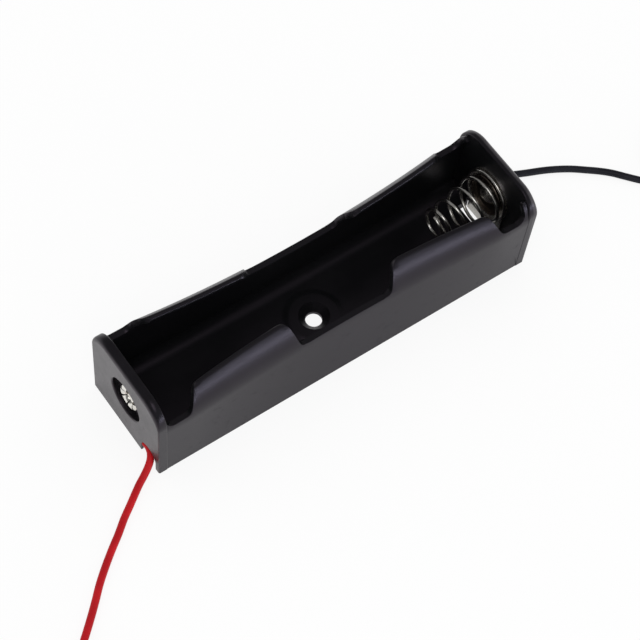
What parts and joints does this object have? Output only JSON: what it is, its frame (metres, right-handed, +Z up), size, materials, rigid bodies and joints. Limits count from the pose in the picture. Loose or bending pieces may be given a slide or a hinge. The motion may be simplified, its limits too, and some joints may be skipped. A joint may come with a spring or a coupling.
{
  "type": "cylindrical cell holder",
  "caption": "Open moulded holder for a cylindrical cell, with curled gripping side walls, a conical contact spring, riveted end contacts and red and black wire leads.",
  "frame": {"origin": "centre of the holder's underside", "axes": "+X along the cell towards the spring (negative) end, +Y across, +Z up through the open top"},
  "size_m": [0.1621, 0.0605, 0.019],
  "materials": {
    "housing_plastic": "satin black moulded plastic",
    "spring_wire": "nickel-plated spring wire",
    "seat_metal": "nickel-plated, drawn",
    "contact_metal": "nickel-plated sheet",
    "rivet_metal": "nickel-plated, clenched",
    "solder": "smooth solder",
    "red_insulation": "soft satin insulation",
    "black_insulation": "soft satin insulation",
    "tinned_wire": "tinned strands"
  },
  "bodies": {
    "holder": {"housing": "housing_plastic", "spring_seat": "seat_metal", "negative_plate": "contact_metal", "positive_plate": "contact_metal", "negative_rivet": "rivet_metal", "positive_rivet": "rivet_metal", "negative_solder": "solder", "positive_solder": "solder", "red_lead": "red_insulation", "red_lead_coil": "red_insulation", "red_lead_tip": "tinned_wire", "black_lead": "black_insulation", "black_lead_coil": "black_insulation", "black_lead_tip": "tinned_wire"},
    "spring": {"contact_spring": "spring_wire"}
  },
  "joints": [
    {"name": "spring_compress", "type": "slide", "parent": "holder", "child": "spring", "axis": [1, 0, 0], "range_m": [0, 0.008], "stiffness_N_per_m": 600, "deforming": ["contact_spring"]}
  ]
}
